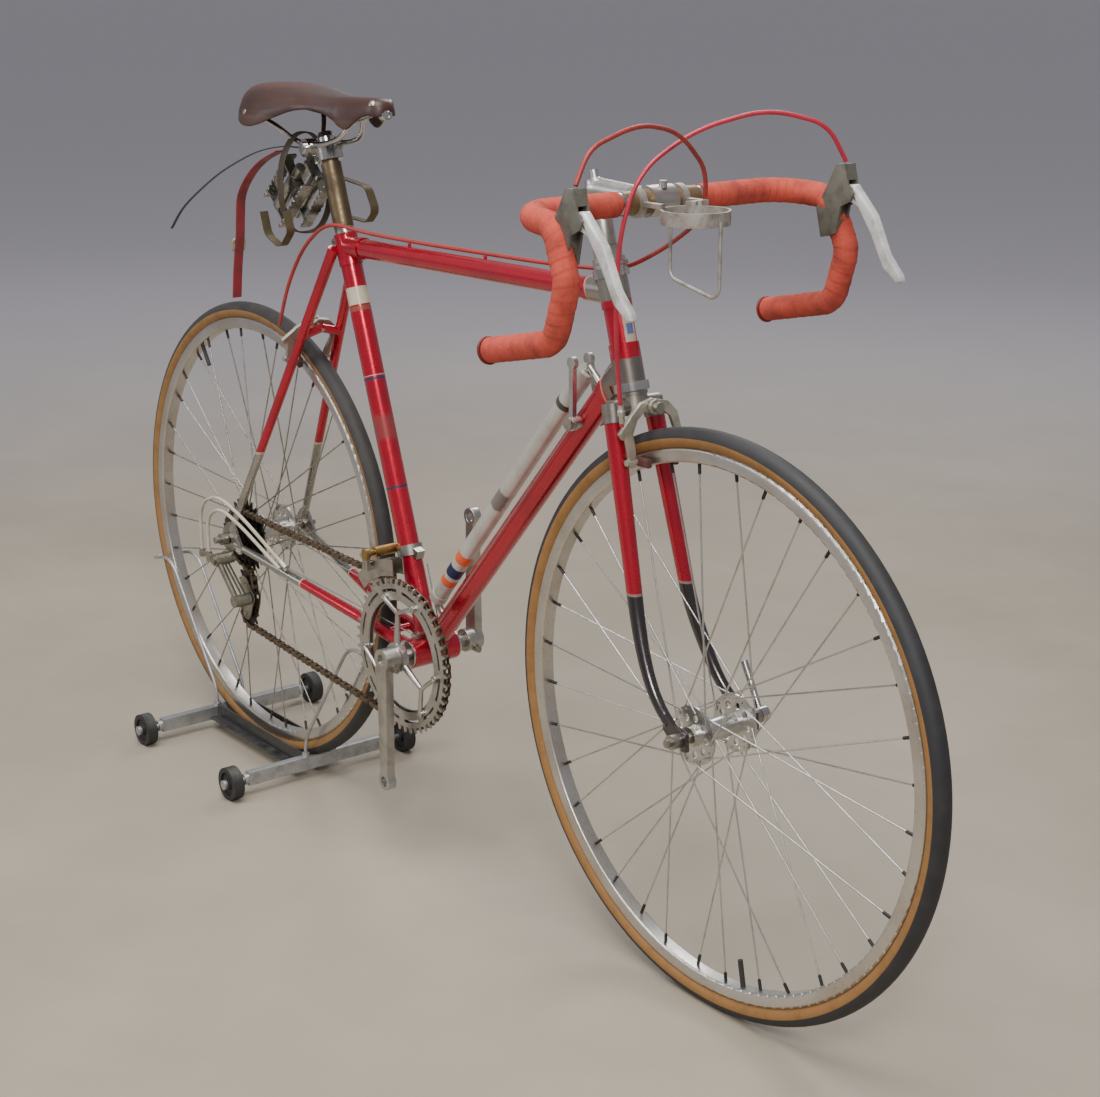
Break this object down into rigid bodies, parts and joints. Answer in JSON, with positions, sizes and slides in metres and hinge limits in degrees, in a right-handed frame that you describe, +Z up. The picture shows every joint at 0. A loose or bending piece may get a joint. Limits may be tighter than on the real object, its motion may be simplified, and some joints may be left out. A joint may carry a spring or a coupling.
{
  "type": "bicycle on stand",
  "caption": "Lightweight racing bicycle with dropped bars, side-pull brakes and derailleur gears, its rear wheel held upright in a small wheeled floor stand.",
  "frame": {"origin": "on the floor, at the centre of the object's box, close to midway between the two axles", "axes": "+X towards the front wheel, +Y to the rider's left, +Z up"},
  "size_m": [1.652, 0.4296, 1.0032],
  "materials": {
    "frame_red": "gloss lacquer over chrome, worn",
    "lug_chrome": "dull chrome with red lacquer",
    "chrome": "polished",
    "steel": "aged plated steel",
    "chain_steel": "oily brown",
    "pump_body": "cream with bands",
    "frame_housing": "gloss housing",
    "post_brass": "brown anodised",
    "saddle_leather": "oiled, worn",
    "strap_leather": "worn leather",
    "fork_paint": "gloss lacquer, chrome tips",
    "alloy": "polished, aged",
    "bar_tape": "cotton cloth",
    "lever_body": "khaki anodised",
    "dull_alloy": "corroded satin",
    "housing": "gloss housing",
    "rim_alloy": "brushed, dirty",
    "tyre_rubber": "dark tread, amber walls",
    "spoke_steel": "stainless",
    "cream_alloy": "aged satin",
    "stand_steel": "galvanised",
    "stand_black": "black gloss",
    "stand_rubber": "black matte"
  },
  "bodies": {
    "stand": {"stand_frame": "stand_steel", "stand_rails": "stand_black", "stand_hoops": "stand_steel"},
    "stand_front_right_wheel": {"stand_front_right_wheel": "stand_rubber"},
    "stand_front_left_wheel": {"stand_front_left_wheel": "stand_rubber"},
    "stand_rear_right_wheel": {"stand_rear_right_wheel": "stand_rubber"},
    "stand_rear_left_wheel": {"stand_rear_left_wheel": "stand_rubber"},
    "frame": {"top_tube": "frame_red", "seat_tube": "frame_red", "down_tube": "frame_red", "head_tube": "frame_red", "lugs": "lug_chrome", "rear_stays": "frame_red", "bearing_cups": "chrome", "frame_fittings": "steel", "chain": "chain_steel", "rear_axle": "steel", "pump": "pump_body", "frame_cables": "frame_housing", "rear_mech_body": "steel"},
    "saddle": {"seatpost": "post_brass", "saddle_frame": "chrome", "saddle_top": "saddle_leather", "spare_pedals": "steel", "toe_straps": "strap_leather"},
    "fork": {"fork_crown": "lug_chrome", "fork_blades": "fork_paint", "stem": "alloy", "handlebar": "alloy", "bar_tape": "bar_tape", "brake_lever_bodies": "lever_body", "bottle_cage": "dull_alloy", "front_axle": "steel", "bar_cables": "housing"},
    "front_wheel": {"front_rim": "rim_alloy", "front_tyre": "tyre_rubber", "front_spokes": "spoke_steel", "front_hub": "alloy"},
    "rear_wheel": {"rear_rim": "rim_alloy", "rear_tyre": "tyre_rubber", "rear_spokes": "spoke_steel", "rear_hub": "alloy"},
    "crankset": {"right_crank": "steel", "left_crank": "steel", "crank_spindle": "steel", "chainrings": "steel"},
    "freewheel": {"freewheel": "chain_steel"},
    "rear_mech_cage": {"rear_mech_cage": "steel"},
    "guide_pulley": {"guide_pulley": "chain_steel"},
    "tension_pulley": {"tension_pulley": "chain_steel"},
    "front_mech_cage": {"front_mech_cage": "steel"},
    "right_brake_lever": {"right_brake_lever": "alloy"},
    "left_brake_lever": {"left_brake_lever": "alloy"},
    "front_brake_right_arm": {"front_brake_right_arm": "cream_alloy"},
    "front_brake_left_arm": {"front_brake_left_arm": "cream_alloy"},
    "rear_brake_right_arm": {"rear_brake_right_arm": "cream_alloy"},
    "rear_brake_left_arm": {"rear_brake_left_arm": "cream_alloy"},
    "right_shift_lever": {"right_shift_lever": "alloy"},
    "left_shift_lever": {"left_shift_lever": "alloy"},
    "front_quick_release_lever": {"front_quick_release_lever": "alloy"}
  },
  "joints": [
    {"name": "stand_front_right_wheel_spin", "type": "hinge", "parent": "stand", "child": "stand_front_right_wheel", "pos_m": [-0.357, -0.147, 0.024], "axis": [0, 1, 0], "continuous": true},
    {"name": "stand_front_left_wheel_spin", "type": "hinge", "parent": "stand", "child": "stand_front_left_wheel", "pos_m": [-0.357, 0.147, 0.024], "axis": [0, 1, 0], "continuous": true},
    {"name": "stand_rear_right_wheel_spin", "type": "hinge", "parent": "stand", "child": "stand_rear_right_wheel", "pos_m": [-0.619, -0.147, 0.024], "axis": [0, 1, 0], "continuous": true},
    {"name": "stand_rear_left_wheel_spin", "type": "hinge", "parent": "stand", "child": "stand_rear_left_wheel", "pos_m": [-0.619, 0.147, 0.024], "axis": [0, 1, 0], "continuous": true},
    {"name": "lift_off_stand", "type": "slide", "parent": "stand", "child": "frame", "axis": [0, 0, 1], "range_m": [0, 0.35]},
    {"name": "saddle_height", "type": "slide", "parent": "frame", "child": "saddle", "axis": [-0.3206, 0, 0.9472], "range_m": [-0.015, 0.05]},
    {"name": "steering", "type": "hinge", "parent": "frame", "child": "fork", "pos_m": [0.326, 0, 0.742], "axis": [-0.284, 0, 0.9588], "range_deg": [-45, 45], "deforming": ["frame_cables"]},
    {"name": "front_wheel_spin", "type": "hinge", "parent": "fork", "child": "front_wheel", "pos_m": [0.488, 0, 0.338], "axis": [0, 1, 0], "continuous": true},
    {"name": "rear_wheel_spin", "type": "hinge", "parent": "frame", "child": "rear_wheel", "pos_m": [-0.488, 0, 0.343], "axis": [0, 1, 0], "continuous": true},
    {"name": "crank_spin", "type": "hinge", "parent": "frame", "child": "crankset", "pos_m": [-0.065, 0, 0.277], "axis": [0, 1, 0], "continuous": true},
    {"name": "freewheel_spin", "type": "hinge", "parent": "frame", "child": "freewheel", "pos_m": [-0.488, 0, 0.343], "axis": [0, 1, 0], "continuous": true},
    {"name": "rear_mech_cage_swing", "type": "hinge", "parent": "frame", "child": "rear_mech_cage", "pos_m": [-0.456, 0, 0.256], "axis": [0, 1, 0], "range_deg": [-8, 8], "stiffness_Nm_per_rad": 0.5},
    {"name": "guide_pulley_spin", "type": "hinge", "parent": "rear_mech_cage", "child": "guide_pulley", "pos_m": [-0.474, 0, 0.276], "axis": [0, 1, 0], "continuous": true},
    {"name": "tension_pulley_spin", "type": "hinge", "parent": "rear_mech_cage", "child": "tension_pulley", "pos_m": [-0.469, 0, 0.23], "axis": [0, 1, 0], "continuous": true},
    {"name": "front_mech_shift", "type": "slide", "parent": "frame", "child": "front_mech_cage", "axis": [0, 1, 0], "range_m": [-0.003, 0.003]},
    {"name": "right_brake_lever_squeeze", "type": "hinge", "parent": "fork", "child": "right_brake_lever", "pos_m": [0.486, 0, 0.914], "axis": [0, 1, 0], "range_deg": [0, 22], "stiffness_Nm_per_rad": 1},
    {"name": "left_brake_lever_squeeze", "type": "hinge", "parent": "fork", "child": "left_brake_lever", "pos_m": [0.486, 0, 0.914], "axis": [0, 1, 0], "range_deg": [0, 22], "stiffness_Nm_per_rad": 1},
    {"name": "front_brake_right_arm_close", "type": "hinge", "parent": "fork", "child": "front_brake_right_arm", "pos_m": [0.371, 0, 0.684], "axis": [1, 0, 0], "range_deg": [0, 3]},
    {"name": "front_brake_left_arm_close", "type": "hinge", "parent": "fork", "child": "front_brake_left_arm", "pos_m": [0.371, 0, 0.684], "axis": [1, 0, 0], "range_deg": [-3, 0]},
    {"name": "rear_brake_right_arm_close", "type": "hinge", "parent": "frame", "child": "rear_brake_right_arm", "pos_m": [-0.3195, 0, 0.6748], "axis": [-0.88, 0, 0.475], "range_deg": [-3, 0]},
    {"name": "rear_brake_left_arm_close", "type": "hinge", "parent": "frame", "child": "rear_brake_left_arm", "pos_m": [-0.3195, 0, 0.6748], "axis": [-0.88, 0, 0.475], "range_deg": [0, 3]},
    {"name": "right_shift", "type": "hinge", "parent": "frame", "child": "right_shift_lever", "pos_m": [0.262, 0, 0.647], "axis": [0, 1, 0], "range_deg": [-60, 15]},
    {"name": "left_shift", "type": "hinge", "parent": "frame", "child": "left_shift_lever", "pos_m": [0.262, 0, 0.647], "axis": [0, 1, 0], "range_deg": [-40, 35]},
    {"name": "front_quick_release", "type": "hinge", "parent": "fork", "child": "front_quick_release_lever", "pos_m": [0.488, 0.072, 0.338], "axis": [0, 1, 0], "range_deg": [-60, 60]}
  ],
  "couplings": [
    {"joint": "freewheel_spin", "follows": "crank_spin", "ratio": 2.5263},
    {"joint": "tension_pulley_spin", "follows": "crank_spin", "ratio": 4.8},
    {"joint": "guide_pulley_spin", "follows": "crank_spin", "ratio": -4.8},
    {"joint": "front_brake_right_arm_close", "follows": "left_brake_lever_squeeze", "ratio": 0.12},
    {"joint": "front_brake_left_arm_close", "follows": "left_brake_lever_squeeze", "ratio": -0.12},
    {"joint": "rear_brake_right_arm_close", "follows": "right_brake_lever_squeeze", "ratio": -0.12},
    {"joint": "rear_brake_left_arm_close", "follows": "right_brake_lever_squeeze", "ratio": 0.12}
  ]
}
